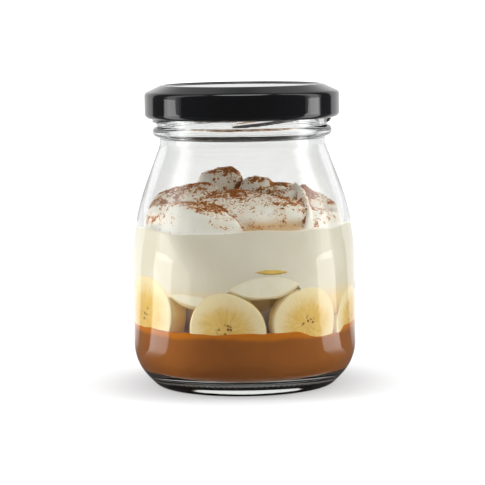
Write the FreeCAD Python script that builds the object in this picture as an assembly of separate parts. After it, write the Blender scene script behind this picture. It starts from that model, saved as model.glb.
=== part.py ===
"""Glass dessert jar: a round twist-off jar with banana slices, caramel and cream.

Millimetres, +Z up.  The origin is the middle of the ring that the jar stands on.
Angles round the jar are in degrees from +X towards +Y; the jar's front is -Y.
"""
import FreeCAD, Part
import os
from math import atan2, cos, degrees, exp, hypot, log, pi, radians, sin, sqrt, tan

V = FreeCAD.Vector
AXIS = V(0, 0, 1)
ORIGIN = V(0, 0, 0)
FRONT = -90.0

# ---- glass -------------------------------------------------------------------
body_radius = 41.5            # outside of the straight wall
wall = 3.0                    # side wall
heel_height = 16.2            # where the rounded heel meets the straight wall
heel_radius = 17.8            # the heel's round, which runs out into a cone
heel_slope = 46.0             # degrees, the cone's rise
heel_corner = 5.0             # the round between the cone and the bearing ring
bearing_width = 2.6           # the flat ring that the jar stands on
push_up = 2.2                 # how far the middle of the underside is domed in
straight_height = 29.8        # straight wall above the heel
shoulder_height = 45.0        # from the straight wall to the neck
shoulder_roundness = 0.92     # 1 = two arcs only, less = a longer cone between them
neck_fillet = 6.0
neck_height = 2.0             # short plain neck under the bead
floor_thickness = 4.6         # least glass under the contents
inner_heel_radius = 9.0
inner_floor_rise = 1.0        # the inner floor is a little higher in the middle

# ---- finish: the bead, the threads and the rim -------------------------------
finish_radius = 31.7          # plain wall between the bead and the rim
finish_wall = 3.0
finish_height = 13.1          # from the bead to the rim
neck_undercut = 0.8           # how far the neck lies inside the finish
bead_height = 4.2
bead_reach = 1.7              # how far the bead stands out from the finish
rim_round = 1.1
thread_count = 4
thread_depth = 2.0            # how far the threads stand out from the finish
thread_width = 2.1            # along the jar's axis
thread_lead = 22.0            # rise in a full turn
thread_span = 82.0            # degrees that each thread covers
thread_fade = 14.0            # degrees over which each end sinks into the wall
thread_start = 8.0 + FRONT - 14.0
thread_base = 1.2             # the low end's middle above the bead

# ---- lid ---------------------------------------------------------------------
lid_clearance = 0.6           # between the hem and the threads
hem_clearance = 2.8           # between the hem and the bead
lid_sheet = 0.5
crest_inset = 0.3             # the raised ring's middle lies this far inside the rim's middle
crest_round = 1.4
panel_recess = 0.5            # the flat middle lies this far below the crest
panel_slope = 40.0            # degrees, the ring's inner side
slope_angle = 25.0            # degrees, from the crest down to the skirt
skirt_round = 1.6
hem_width = 2.0
hem_height = 2.7
hem_round = 1.85
lug_gap = 0.7                 # between each lug and the plain wall of the finish
lug_height = 1.2
lug_angle = 12.0
lug_lead = 82.0               # degrees from a thread's low end to its lug's middle

# ---- gasket ------------------------------------------------------------------
gasket_thickness = 1.5        # between the rim and the crest's underside
gasket_width = 4.0
gasket_gap = 0.1

# ---- contents ----------------------------------------------------------------
fit = 0.3                     # clearance between any two pieces of the contents
caramel_level = 24.0
cream_edge = 60.3             # height of the cream where it meets the glass
cream_hang = 35.0             # near the wall the cream stops here, over open gaps
cream_hang_depth = 7.5        # how far in from the wall those gaps reach
cream_mound = 5.5             # how much higher the middle is, under the lobes
cream_rise = 32.0             # how far the cream may rise ...
cream_rise_width = 13.0       # ... over about this distance from the glass
cream_blend = 0.6             # softness of the valleys between lobes
cream_cliff = 3.0             # slope below a lobe's rounded side
cream_grid = 41               # points each way on the cream's top surface
lobe_span = 38.5              # the cavity radius for which the lobes are laid out

# Lobes of the spooned cream.  Each follows a crest of (x, y, z) points; its two sides are
# quarter ellipses, given by width and drop, first on the side towards the jar's front.
cream_lobes = [
    ([(-31, -8, 64.6), (-26.6, -13, 68.6), (-19.6, -18, 70.2), (-13.4, -21, 68.8),
      (-8.9, -24, 66.6), (-4.6, -29, 63.1), (-0.8, -33.5, 60.4)], 17, 9.5, 2.6, 7),
    ([(-32.6, -3, 63.6), (-29.8, -2, 69.2), (-25.7, 0, 73.2), (-21.5, 1, 74.0),
      (-16.2, -1, 74.9), (-13.6, -3, 75.2), (-11.6, -6, 73.4)], 13, 8.5, 4, 7),
    ([(-13.1, 10, 78.5), (-8.9, 10, 79.8), (-5.6, 10, 80.2)], 6.5, 9, 6.5, 9),
    ([(-8.2, -10, 71.6), (-4, -9, 73.2), (1.5, -9, 72.6)], 19, 11, 3, 6),
    ([(3.6, 7, 76.2), (5.6, 7, 76.7), (7.6, 7, 76.2), (11.3, 8, 74.1), (16.5, 8, 73.8)],
     6, 8, 5, 8),
    ([(5.5, -3, 72.9), (10, -3, 73.4), (15, -1, 73.8)], 2.2, 4, 2.2, 4),
    ([(1, -13, 69.2), (6, -14, 70.2), (11.5, -13, 71.0)], 17, 10, 3, 6),
    ([(12, -6, 72.2), (18, -6, 73.2)], 5, 6, 3, 6),
    ([(19.3, -6, 75.0), (21.1, -9, 73.5), (22.3, -14, 71.5), (22.9, -20, 68.8),
      (22.9, -25, 66.0), (22, -30, 62.4)], 2.4, 6, 2.2, 6),
    ([(23.0, 0, 73.8), (26.2, -1, 71.6), (29.2, -2, 69.6)], 9, 8, 4, 8),
    ([(31.0, -3, 67.4), (33.4, -2, 65.0), (35.4, -1, 62.6)], 9, 6, 3.5, 7),
    ([(25.5, -16, 67.0), (29, -13, 65.6)], 9, 6, 4, 5),
    ([(-28, 10, 66), (-24, 14, 69), (-17, 18, 71.6), (-10, 20, 72.0)], 6, 6, 10, 9),
    ([(-4, 24, 71.0), (4, 25, 72.4), (12, 22, 72.0)], 7, 7, 12, 10),
    ([(17, 18, 71.4), (22, 13, 70.8), (27, 6, 68.6)], 7, 6, 9, 9),
    ([(9, 14, 73.0), (2, 16, 73.6), (-3, 16, 74.0)], 5, 6, 5, 6),
]

# Upright slices along the wall: name, angle from the front, middle, radius,
# thickness, rows of slices between it and the wall, turn of the outline.
upright_slices = [
    ("banana_front", -10.0, 25.0, 14.1, 7.0, 0, 10.0),
    ("banana_front_right", 35.0, 26.4, 13.7, 6.5, 0, 75.0),
    ("banana_right", 75.0, 25.4, 12.6, 7.5, 0, 140.0),
    ("banana_back_right", 120.5, 26.2, 13.9, 6.8, 0, 30.0),
    ("banana_back", 164.0, 25.4, 13.6, 7.2, 0, 200.0),
    ("banana_back_left", 207.0, 26.8, 13.4, 6.4, 0, 95.0),
    ("banana_left", 249.5, 25.2, 13.5, 7.0, 0, 260.0),
    ("banana_front_left", 296.0, 28.9, 15.2, 7.4, 0, 320.0),
    ("banana_behind_left", 324.0, 23.5, 13.2, 6.0, 1, 50.0),
]

# Slices that lie on the upright ones: name, angle from the front, middle's distance
# from the wall, height, radius, thickness, lean outward, lean sideways.
lying_slices = [
    ("banana_top_front", 10.5, 10.1, 40.0, 14.8, 9.0, 4.0, -3.0),
    ("banana_top_left", -29.0, 10.5, 35.0, 13.5, 7.2, 5.0, 9.0),
    ("banana_top_right", 57.0, 14.0, 41.2, 13.6, 7.2, 6.0, 7.0),
    ("banana_top_back_right", 102.0, 11.0, 40.4, 13.9, 7.0, 10.0, -6.0),
    ("banana_top_back", 148.0, 11.5, 41.0, 13.5, 7.4, 7.0, 5.0),
    ("banana_top_back_left", 193.0, 11.0, 40.8, 13.8, 7.0, 9.0, -5.0),
    ("banana_top_far_left", 238.0, 11.5, 40.2, 13.6, 7.2, 8.0, 6.0),
]

# The golden slice whose rim just shows above the front one.
golden_slice = ("banana_golden", 13.5, 11.5, 45.9, 12.9, 5.4, 3.0, 2.0)

# ---- sizes that follow -------------------------------------------------------
bore_radius = finish_radius - finish_wall
neck_radius = finish_radius - neck_undercut
bead_radius = finish_radius + bead_reach
thread_radius = finish_radius + thread_depth
lid_radius = thread_radius + lid_clearance + hem_width
crest_radius = (bore_radius + finish_radius) / 2 - crest_inset
row_depth = max(spec[4] for spec in upright_slices) + 0.7
straight_top = heel_height + straight_height
neck_bottom = straight_top + shoulder_height
bead_bottom = neck_bottom + neck_height
bead_top = bead_bottom + bead_height
rim_top = bead_top + finish_height
lid_top = rim_top + gasket_thickness + lid_sheet
lid_bottom = bead_top + hem_clearance
cavity_radius = body_radius - wall


# ---- helpers -----------------------------------------------------------------
class Outline:
    """A chain of lines and arcs in the XZ plane, closed into a face."""

    def __init__(self, r, z):
        self.first = V(r, 0, z)
        self.last = self.first
        self.edges = []

    def line(self, r, z):
        point = V(r, 0, z)
        if point.distanceToPoint(self.last) > 1e-6:
            self.edges.append(Part.LineSegment(self.last, point).toShape())
            self.last = point
        return self

    def arc(self, r_mid, z_mid, r, z):
        point = V(r, 0, z)
        self.edges.append(Part.Arc(self.last, V(r_mid, 0, z_mid), point).toShape())
        self.last = point
        return self

    def arc_about(self, r_centre, z_centre, radius, start, end):
        """An arc given by its centre, radius and start and end angles."""
        self.line(*on_circle(r_centre, z_centre, radius, start))
        middle = on_circle(r_centre, z_centre, radius, (start + end) / 2)
        return self.arc(*middle, *on_circle(r_centre, z_centre, radius, end))

    def face(self):
        self.line(self.first.x, self.first.z)
        return Part.Face(Part.Wire(self.edges))

    def solid(self, angle=360.0):
        return self.face().revolve(ORIGIN, AXIS, angle)


def on_circle(r_centre, z_centre, radius, angle):
    return (r_centre + radius * cos(radians(angle)), z_centre + radius * sin(radians(angle)))


def ring(r_in, r_out, z_low, z_high):
    outline = Outline(r_in, z_low).line(r_out, z_low).line(r_out, z_high).line(r_in, z_high)
    return outline.solid()


def one_solid(shape):
    """The largest solid of a boolean's result, cleaned of needless seams."""
    return max(shape.removeSplitter().Solids, key=lambda solid: solid.Volume)


def shoulder(outline, r_low, z_low, r_high, z_high, fillet):
    """From a vertical wall over a round shoulder and a cone into a vertical neck."""
    drop = r_low - r_high
    height = z_high - z_low
    largest = (drop * drop + height * height) / (2 * drop)
    both = shoulder_roundness * largest
    cone = sqrt(2 * drop * (largest - both))
    angle = degrees(atan2(height, both - drop) - atan2(cone, both))
    outline.arc_about(r_low - (both - fillet), z_low, both - fillet, 0, angle)
    return outline.arc_about(r_high + fillet, z_high, fillet, 180 + angle, 180)


def save(shape, name):
    shape.exportStep(os.path.join("parts", name + ".step"))
    print("%-24s %10.1f mm3  %d solid" % (name, shape.Volume, len(shape.Solids)))


# ---- glass jar ---------------------------------------------------------------
def outside():
    """The whole outer form of the jar as one solid."""
    heel_middle = body_radius - heel_radius
    cone_angle = heel_slope - 90
    cone_r, cone_z = on_circle(heel_middle, heel_height, heel_radius, cone_angle)
    # Where the cone would meet the ground, less what its rounded corner takes.
    ground_r = cone_r - cone_z / tan(radians(heel_slope))
    bearing_radius = ground_r - heel_corner * tan(radians(heel_slope / 2))
    bearing_inner = bearing_radius - bearing_width
    outline = Outline(0, push_up)
    outline.arc(bearing_inner * 0.6, push_up * 0.72, bearing_inner, 0)
    outline.arc_about(bearing_radius, heel_corner, heel_corner, -90, cone_angle)
    outline.arc_about(heel_middle, heel_height, heel_radius, cone_angle, 0)
    outline.line(body_radius, straight_top)
    shoulder(outline, body_radius, straight_top, neck_radius, neck_bottom, neck_fillet)
    outline.line(neck_radius, bead_bottom)
    outline.arc(bead_radius, bead_bottom + bead_height * 0.52, finish_radius, bead_top)
    outline.line(finish_radius, rim_top - rim_round)
    outline.arc_about(finish_radius - rim_round, rim_top - rim_round, rim_round, 0, 90)
    outline.line(0, rim_top)
    return outline.solid()


def cavity(clearance=0.0, top=None):
    """The space inside the glass, drawn in by a clearance, up to a height."""
    wall_radius = cavity_radius - clearance
    neck = bore_radius - clearance
    floor_edge = floor_thickness + clearance
    floor_middle = floor_edge + inner_floor_rise
    heel = inner_heel_radius
    outline = Outline(0, floor_middle)
    floor_radius = wall_radius - heel
    outline.arc(floor_radius * 0.5, floor_edge + inner_floor_rise * 0.75, floor_radius, floor_edge)
    outline.arc_about(floor_radius, floor_edge + heel, heel, -90, 0)
    outline.line(wall_radius, straight_top)
    shoulder(outline, wall_radius, straight_top, neck, neck_bottom, neck_fillet + wall)
    outline.line(neck, rim_top + 5)
    outline.line(0, rim_top + 5)
    space = outline.solid()
    if top is None:
        return space
    return space.common(Part.makeCylinder(body_radius, top))


def thread(start):
    """One lug thread: a rounded ridge that rises round the finish and fades at both ends."""
    sections = []
    steps = 12
    root = finish_radius - 0.8
    for step in range(steps + 1):
        turn = thread_span * step / steps
        fade = min(1.0, turn / thread_fade, (thread_span - turn) / thread_fade)
        crest = finish_radius - 0.25 + (thread_radius - finish_radius + 0.25) * sqrt(fade)
        half = thread_width / 2 * (0.55 + 0.45 * fade)
        z = bead_top + thread_base + thread_lead * turn / 360
        corners = [(root, z - half), (finish_radius - 0.3, z - half), (crest, z - half * 0.15),
                   (finish_radius - 0.3, z + half), (root, z + half)]
        points = [V(r * cos(radians(start + turn)), r * sin(radians(start + turn)), height)
                  for r, height in corners]
        curve = Part.Arc(points[1], points[2], points[3]).toShape()
        edges = [Part.LineSegment(points[0], points[1]).toShape(), curve,
                 Part.LineSegment(points[3], points[4]).toShape(),
                 Part.LineSegment(points[4], points[0]).toShape()]
        sections.append(Part.Wire(edges))
    return Part.makeLoft(sections, True, False)


def rim_cut():
    """What rounds the inner edge of the rim."""
    outline = Outline(bore_radius - 1, rim_top - rim_round)
    outline.line(bore_radius, rim_top - rim_round)
    outline.arc_about(bore_radius + rim_round, rim_top - rim_round, rim_round, 180, 90)
    outline.line(bore_radius + rim_round, rim_top + 1)
    outline.line(bore_radius - 1, rim_top + 1)
    return outline.solid()


def glass_jar():
    jar = outside()
    threads = [thread(thread_start + 360.0 * i / thread_count) for i in range(thread_count)]
    jar = jar.fuse(threads)
    jar = jar.cut(cavity()).cut(rim_cut())
    return one_solid(jar)


# ---- lid ---------------------------------------------------------------------
def lid_form(inset, bottom):
    """The lid's outer form drawn in by an inset, down to a height."""
    crest_z = lid_top - crest_round
    panel_z = lid_top - panel_recess
    lean = radians(panel_slope)
    # The cone inside the crest leaves its round at this point and runs down to the panel.
    inner_angle = 180 - degrees(pi / 2 - lean)
    r_tangent, z_tangent = on_circle(crest_radius, crest_z, crest_round - inset, inner_angle)
    panel_edge = r_tangent - (z_tangent - (panel_z - inset)) / tan(lean)
    outer_angle = 90 - slope_angle
    slope = radians(slope_angle)
    corner_r = lid_radius - skirt_round
    # The slope line touches both the crest's round and the corner's round.
    along = (corner_r - crest_radius) * sin(slope) - (crest_round - skirt_round)
    corner_z = crest_z - along / cos(slope)
    outline = Outline(0, panel_z - inset)
    outline.line(panel_edge, panel_z - inset)
    outline.arc_about(crest_radius, crest_z, crest_round - inset, inner_angle, outer_angle)
    outline.arc_about(corner_r, corner_z, skirt_round - inset, outer_angle, 0)
    outline.line(lid_radius - inset, bottom)
    outline.line(0, bottom)
    return outline.solid()


def hem():
    """The rolled edge at the foot of the skirt."""
    inner = lid_radius - hem_width
    outline = Outline(lid_radius, lid_bottom + hem_height)
    outline.line(lid_radius, lid_bottom + hem_round)
    outline.arc_about(lid_radius - hem_round, lid_bottom + hem_round, hem_round, 0, -90)
    outline.line(inner, lid_bottom)
    outline.line(inner, lid_bottom + hem_height - hem_width / 2)
    outline.arc_about(inner + hem_width / 2, lid_bottom + hem_height - hem_width / 2,
                      hem_width / 2, 180, 90)
    return outline.solid()


def lug(middle):
    """A part of the hem pressed inward, which runs under a thread."""
    outer = lid_radius - hem_width + 0.6
    inner = finish_radius + lug_gap
    low = lid_bottom + 0.2
    outline = Outline(inner + lug_height / 2, low).line(outer, low)
    outline.line(outer, low + lug_height).line(inner + lug_height / 2, low + lug_height)
    outline.arc(inner, low + lug_height / 2, inner + lug_height / 2, low)
    piece = outline.solid(lug_angle)
    piece.rotate(ORIGIN, AXIS, middle - lug_angle / 2)
    return piece


def lid():
    shell = lid_form(0, lid_bottom + hem_height - 0.3).cut(lid_form(lid_sheet, lid_bottom - 1))
    lugs = [lug(thread_start + lug_lead + 360.0 * i / thread_count) for i in range(thread_count)]
    return one_solid(shell.fuse([hem()] + lugs))


def lid_gasket():
    """The sealing ring in the channel under the crest, resting on the rim."""
    middle = (bore_radius + finish_radius) / 2
    band = ring(middle - gasket_width / 2, middle + gasket_width / 2, rim_top, lid_top)
    return one_solid(band.common(lid_form(lid_sheet + gasket_gap, lid_bottom)))


# ---- banana ------------------------------------------------------------------
def slice_outline(radius, turn):
    """The edge of a cut banana: a circle with three soft corners, in the XY plane."""
    points = []
    count = 12
    for i in range(count):
        angle = 2 * pi * i / count
        swing = angle + radians(turn)
        r = radius * (1 + 0.022 * cos(3 * swing) + 0.016 * cos(2 * swing + 1.0))
        points.append(V(r * cos(angle), r * sin(angle), 0))
    curve = Part.BSplineCurve()
    curve.interpolate(points, PeriodicFlag=True)
    return Part.Wire(curve.toShape())


def upright(spec, grow=0.0):
    """An upright slice that follows the wall; with grow, the pocket that clears it."""
    name, angle, middle, radius, thickness, row, turn = spec
    face_radius = cavity_radius - fit - row * row_depth
    far = body_radius
    near = face_radius - thickness - 3.0
    wires = []
    for station in (far, near):
        wire = slice_outline((radius + grow) * station / face_radius, turn)
        wire.rotate(ORIGIN, V(1, 0, 0), 90)
        wire.translate(V(0, -station, middle))
        wires.append(wire)
    wedge = Part.makeLoft(wires, True, True)
    wedge.rotate(ORIGIN, AXIS, angle)
    wedge = wedge.cut(Part.makeCylinder(face_radius - thickness - grow, neck_bottom))
    if row:
        wedge = wedge.common(Part.makeCylinder(face_radius + grow, neck_bottom))
    if grow:
        return wedge
    return one_solid(wedge.common(cavity(fit)))


def lying(spec, grow=0.0):
    """A slice that lies on the upright ones; with grow, the pocket that clears it."""
    name, angle, inset, height, radius, thickness, lean, roll = spec
    face = Part.Face(slice_outline(radius + grow, angle * 3))
    disc = face.extrude(V(0, 0, thickness + 2 * grow))
    disc.translate(V(0, 0, -thickness / 2 - grow))
    disc.rotate(ORIGIN, V(1, 0, 0), -lean)
    disc.rotate(ORIGIN, V(0, 1, 0), roll)
    disc.translate(V(0, inset - cavity_radius, height))
    disc.rotate(ORIGIN, AXIS, angle)
    return disc


# ---- cream -------------------------------------------------------------------
def lobe_height(x, y, crest, front, front_drop, back, back_drop):
    """Height of one lobe: its crest, less a fall that grows with the distance from it."""
    height = 0.0
    for start, end in zip(crest[:-1], crest[1:]):
        run_x = end[0] - start[0]
        run_y = end[1] - start[1]
        length = hypot(run_x, run_y)
        inside = ((x - start[0]) * run_x + (y - start[1]) * run_y) / length ** 2
        inside = min(1.0, max(0.0, inside))
        dx = x - start[0] - inside * run_x
        dy = y - start[1] - inside * run_y
        distance = hypot(dx, dy)
        ahead = dx * run_y > dy * run_x
        width = front if ahead else back
        drop = front_drop if ahead else back_drop
        share = min(1.0, distance / width)
        fall = drop * (1 - sqrt(1 - share ** 2)) + cream_cliff * max(0.0, distance - width)
        height = max(height, start[2] + inside * (end[2] - start[2]) - fall)
    return height


def cream_height(x, y):
    """The height of the cream's top: lobes blended over a low mound, lower near the glass."""
    scale = lobe_span / cavity_radius
    reach = hypot(x, y)
    heights = [cream_edge + cream_mound * (1 - min(1.0, reach / cavity_radius) ** 2)]
    heights += [lobe_height(x * scale, y * scale, *lobe) for lobe in cream_lobes]
    highest = max(heights)
    soft = highest + cream_blend * log(sum(exp((h - highest) / cream_blend) for h in heights))
    from_glass = max(0.0, cavity_radius - reach)
    return min(soft, cream_edge + cream_rise * (1 - exp(-from_glass / cream_rise_width)))


def cream_block():
    """All that lies under the cream's top surface, wider than the jar."""
    half = body_radius
    rows = []
    for i in range(cream_grid):
        x = -half + 2 * half * i / (cream_grid - 1)
        row = []
        for j in range(cream_grid):
            y = -half + 2 * half * j / (cream_grid - 1)
            reach = hypot(x, y)
            inside = min(1.0, cavity_radius / reach) if reach else 1.0
            row.append(V(x, y, cream_height(x * inside, y * inside)))
        rows.append(row)
    surface = Part.BSplineSurface()
    surface.interpolate(rows)
    return surface.toShape().extrude(V(0, 0, -2 * cream_edge))


def build():
    os.makedirs("parts", exist_ok=True)
    save(glass_jar(), "glass_jar")
    save(lid(), "lid")
    save(lid_gasket(), "lid_gasket")

    pockets = []
    for spec in upright_slices:
        piece = upright(spec)
        save(one_solid(piece.cut(pockets)) if pockets else piece, spec[0])
        pockets.append(upright(spec, fit))
    space = cavity(fit)
    for spec in lying_slices + [golden_slice]:
        piece = lying(spec).common(space).cut(pockets)
        save(one_solid(piece), spec[0])
        pockets.append(lying(spec, fit))

    filling = cavity(fit, caramel_level)
    save(one_solid(filling.cut(pockets)), "caramel")
    above = ring(0, body_radius, caramel_level + fit, rim_top)
    gaps = ring(cavity_radius - cream_hang_depth, body_radius, 0, cream_hang)
    cream = cavity(fit).common(above).common(cream_block()).cut(gaps)
    save(one_solid(cream.cut(pockets)), "cream")


build()
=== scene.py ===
"""The looks of a glass dessert jar: caramel, banana slices and cocoa-dusted cream behind glass.

Lengths are in millimetres until a mesh is made; angles round the jar are in degrees from its
front (-Y), counted towards +X.
"""

import math
from functools import reduce

import bpy
import numpy as np
from mathutils import Euler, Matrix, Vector, noise


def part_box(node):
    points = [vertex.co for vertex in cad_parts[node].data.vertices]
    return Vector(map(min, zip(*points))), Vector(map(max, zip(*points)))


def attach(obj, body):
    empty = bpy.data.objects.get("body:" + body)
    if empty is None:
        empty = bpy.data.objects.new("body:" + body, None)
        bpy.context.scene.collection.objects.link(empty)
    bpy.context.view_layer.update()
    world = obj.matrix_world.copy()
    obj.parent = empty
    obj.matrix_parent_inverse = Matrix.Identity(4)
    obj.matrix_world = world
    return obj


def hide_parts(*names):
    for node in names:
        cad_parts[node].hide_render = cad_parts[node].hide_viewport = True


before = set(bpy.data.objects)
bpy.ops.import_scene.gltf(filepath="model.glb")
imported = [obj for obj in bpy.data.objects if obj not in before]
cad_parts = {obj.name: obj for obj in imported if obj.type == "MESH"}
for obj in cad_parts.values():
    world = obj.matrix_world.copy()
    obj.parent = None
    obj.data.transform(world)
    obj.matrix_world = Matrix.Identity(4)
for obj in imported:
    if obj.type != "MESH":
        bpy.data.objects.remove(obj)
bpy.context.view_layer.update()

MM = 0.001
TAU = 2 * math.pi


def top_of(node):
    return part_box(node)[1].z / MM


def bottom_of(node):
    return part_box(node)[0].z / MM


# ---- sizes of the jar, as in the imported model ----
BODY_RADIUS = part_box("glass_jar")[1].x / MM
WALL = 3.0
HEEL_HEIGHT = 16.2
HEEL_RADIUS = 17.8
HEEL_SLOPE = 46.0
HEEL_CORNER = 5.0
BEARING_WIDTH = 2.6
PUSH_UP = 2.2
STRAIGHT_TOP = HEEL_HEIGHT + 29.8
NECK_BOTTOM = STRAIGHT_TOP + 45.0
SHOULDER_ROUNDNESS = 0.92
NECK_RADIUS = 30.9
NECK_FILLET = 6.0
BORE_RADIUS = 28.7
FLOOR_THICKNESS = 4.6
INNER_HEEL = 9.0
FLOOR_RISE = 1.0
BEAD_BOTTOM = NECK_BOTTOM + 2.0
BEAD_HEIGHT = 4.2
BEAD_TOP = BEAD_BOTTOM + BEAD_HEIGHT
BEAD_RADIUS = 33.4
FINISH_RADIUS = 31.7
RIM_TOP = top_of("glass_jar")
RIM_ROUND = 1.1
THREADS = 4
THREAD_RADIUS = 33.7
THREAD_HALF = 1.05
THREAD_LEAD = 22.0
THREAD_SPAN = 82.0
THREAD_FADE = 14.0
THREAD_START = -6.0
THREAD_BASE = BEAD_TOP + 1.2

LID_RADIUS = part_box("lid")[1].x / MM
LID_TOP = top_of("lid")
LID_BOTTOM = bottom_of("lid")

CAVITY_RADIUS = BODY_RADIUS - WALL
CARAMEL_LEVEL = top_of("caramel")
CREAM_EDGE = 60.3

# How far each filling reaches into the wall: the deeper one shows in front of the others.
CREAM_REACH = 0.08
LYING_REACH = 0.14
UPRIGHT_REACH = 0.22
CARAMEL_REACH = 0.30


# ---- mesh helpers ----
def face_outwards(mesh):
    """Turns the faces of a closed mesh over if the volume that they enclose is negative."""
    mesh.calc_loop_triangles()
    corners = np.empty(len(mesh.loop_triangles) * 3, dtype=np.int32)
    mesh.loop_triangles.foreach_get("vertices", corners)
    places = np.empty(len(mesh.vertices) * 3, dtype=np.float32)
    mesh.vertices.foreach_get("co", places)
    a, b, c = places.reshape(-1, 3)[corners.reshape(-1, 3)].transpose(1, 0, 2).astype(float)
    if np.sum(a * np.cross(b, c)) < 0:
        mesh.flip_normals()


def make_piece(name, points, faces, material, attributes=None):
    """A smooth mesh object from points in millimetres."""
    mesh = bpy.data.meshes.new(name)
    mesh.from_pydata((np.asarray(points, dtype=float) * MM).tolist(), [], faces)
    mesh.validate()
    mesh.polygons.foreach_set("use_smooth", [True] * len(mesh.polygons))
    for key, values in (attributes or {}).items():
        values = np.asarray(values, dtype=np.float32)
        kind = "FLOAT" if values.ndim == 1 else "FLOAT_VECTOR"
        layer = mesh.attributes.new(key, kind, "POINT")
        layer.data.foreach_set("value" if values.ndim == 1 else "vector", values.ravel())
    mesh.materials.append(material)
    face_outwards(mesh)
    mesh.update()
    piece = bpy.data.objects.new(name, mesh)
    bpy.context.scene.collection.objects.link(piece)
    return piece


def ring_faces(rings, columns):
    """Quads between closed rings that follow each other."""
    i = np.arange(rings - 1)[:, None] * columns
    j = np.arange(columns)[None, :]
    k = (j + 1) % columns
    quads = np.stack([i + j, i + k, i + k + columns, i + j + columns], axis=-1)
    return quads.reshape(-1, 4).tolist()


def fan(pole, ring_start, columns, flip):
    faces = [(pole, ring_start + j, ring_start + (j + 1) % columns) for j in range(columns)]
    return [face[::-1] for face in faces] if flip else faces


def closed_rings(rings, start_pole=None, end_pole=None):
    """Points and faces of a form made of closed rings (n, m, 3) with a pole at each end.

    A pole that isn't given lies in the middle of the end ring.
    """
    rings = np.asarray(rings)
    count, columns = rings.shape[:2]
    poles = [rings[0].mean(axis=0) if start_pole is None else start_pole,
             rings[-1].mean(axis=0) if end_pole is None else end_pole]
    points = np.concatenate([rings.reshape(-1, 3), poles])
    faces = ring_faces(count, columns)
    faces += fan(count * columns, 0, columns, True)
    faces += fan(count * columns + 1, (count - 1) * columns, columns, False)
    return points, faces


def around_axis(r, angle, z):
    """Points at a radius, an angle from the jar's front and a height."""
    return np.stack([r * np.sin(angle), -r * np.cos(angle), z], axis=-1)


def lathe(profile, columns, shape=None):
    """Turns a profile of (r, z) points that starts and ends on the axis."""
    profile = np.asarray(profile, dtype=float)
    angle = np.linspace(0, TAU, columns, endpoint=False)[None, :]
    r = np.repeat(profile[1:-1, :1], columns, axis=1)
    z = np.repeat(profile[1:-1, 1:], columns, axis=1)
    angle = np.repeat(angle, len(r), axis=0)
    if shape:
        r, z = shape(r, z, angle)
    return closed_rings(around_axis(r, angle, z), (0, 0, profile[0, 1]), (0, 0, profile[-1, 1]))


def arc(r_centre, z_centre, radius, start, end, steps):
    """Points on an arc given by angles in degrees from +r towards +z."""
    turn = np.radians(np.linspace(start, end, steps + 1))
    return np.stack([r_centre + radius * np.cos(turn), z_centre + radius * np.sin(turn)], axis=1)


def bulge(start, middle, end, steps):
    """Points on the circle through three points."""
    (ax, ay), (bx, by), (cx, cy) = start, middle, end
    d = 2 * (ax * (by - cy) + bx * (cy - ay) + cx * (ay - by))
    a2, b2, c2 = ax * ax + ay * ay, bx * bx + by * by, cx * cx + cy * cy
    ux = (a2 * (by - cy) + b2 * (cy - ay) + c2 * (ay - by)) / d
    uy = (a2 * (cx - bx) + b2 * (ax - cx) + c2 * (bx - ax)) / d
    angles = [math.degrees(math.atan2(y - uy, x - ux)) for x, y in (start, middle, end)]
    for i in (1, 2):
        while angles[i] - angles[i - 1] > 180:
            angles[i] -= 360
        while angles[i] - angles[i - 1] < -180:
            angles[i] += 360
    return arc(ux, uy, math.hypot(ax - ux, ay - uy), angles[0], angles[2], steps)


def straight(start, end, steps):
    return np.linspace(start, end, steps + 1)


def joined(*stretches):
    """One profile of several stretches, without double points."""
    points = np.concatenate([np.atleast_2d(s) for s in stretches])
    keep = np.ones(len(points), dtype=bool)
    keep[1:] = np.hypot(*(points[1:] - points[:-1]).T) > 1e-4
    return points[keep]


def shoulder(r_low, z_low, r_high, z_high, fillet, steps):
    """From a vertical wall over a round shoulder and a cone into a vertical neck."""
    drop = r_low - r_high
    height = z_high - z_low
    largest = (drop * drop + height * height) / (2 * drop)
    both = SHOULDER_ROUNDNESS * largest
    cone = math.sqrt(2 * drop * (largest - both))
    angle = math.degrees(math.atan2(height, both - drop) - math.atan2(cone, both))
    lower = arc(r_low - (both - fillet), z_low, both - fillet, 0, angle, steps)
    upper = arc(r_high + fillet, z_high, fillet, 180 + angle, 180, steps // 3)
    return joined(lower, straight(lower[-1], upper[0], steps // 3), upper)


def inner_profile(clearance=0.0):
    """The cavity from the middle of its floor to the rim."""
    wall = CAVITY_RADIUS - clearance
    neck = BORE_RADIUS - clearance
    edge = FLOOR_THICKNESS + clearance
    flat = wall - INNER_HEEL
    floor_points = bulge((0, edge + FLOOR_RISE), (flat / 2, edge + FLOOR_RISE * 0.75),
                         (flat, edge), 14)
    heel = arc(flat, edge + INNER_HEEL, INNER_HEEL, -90, 0, 18)
    side = straight((wall, edge + INNER_HEEL), (wall, STRAIGHT_TOP), 12)
    rise = shoulder(wall, STRAIGHT_TOP, neck, NECK_BOTTOM, NECK_FILLET + WALL, 36)
    bore = straight((neck, NECK_BOTTOM), (neck, RIM_TOP), 6)
    return joined(floor_points, heel, side, rise, bore)


cavity_line = inner_profile()
above_floor = cavity_line[:, 0] >= CAVITY_RADIUS - INNER_HEEL
above_floor &= cavity_line[:, 1] > FLOOR_THICKNESS - 0.01
CAVITY_R, CAVITY_Z = cavity_line[above_floor].T


def wall_at(z):
    """Radius of the glass's inner face at a height."""
    return np.interp(z, CAVITY_Z, CAVITY_R)


def turned_from(angle, middle=0.0):
    """Degrees from a middle to each angle, between -180 and 180."""
    return (np.degrees(angle) - middle + 180) % 360 - 180


def smooth(low, high, x):
    t = np.clip((x - low) / (high - low), 0, 1)
    return t * t * (3 - 2 * t)


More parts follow.
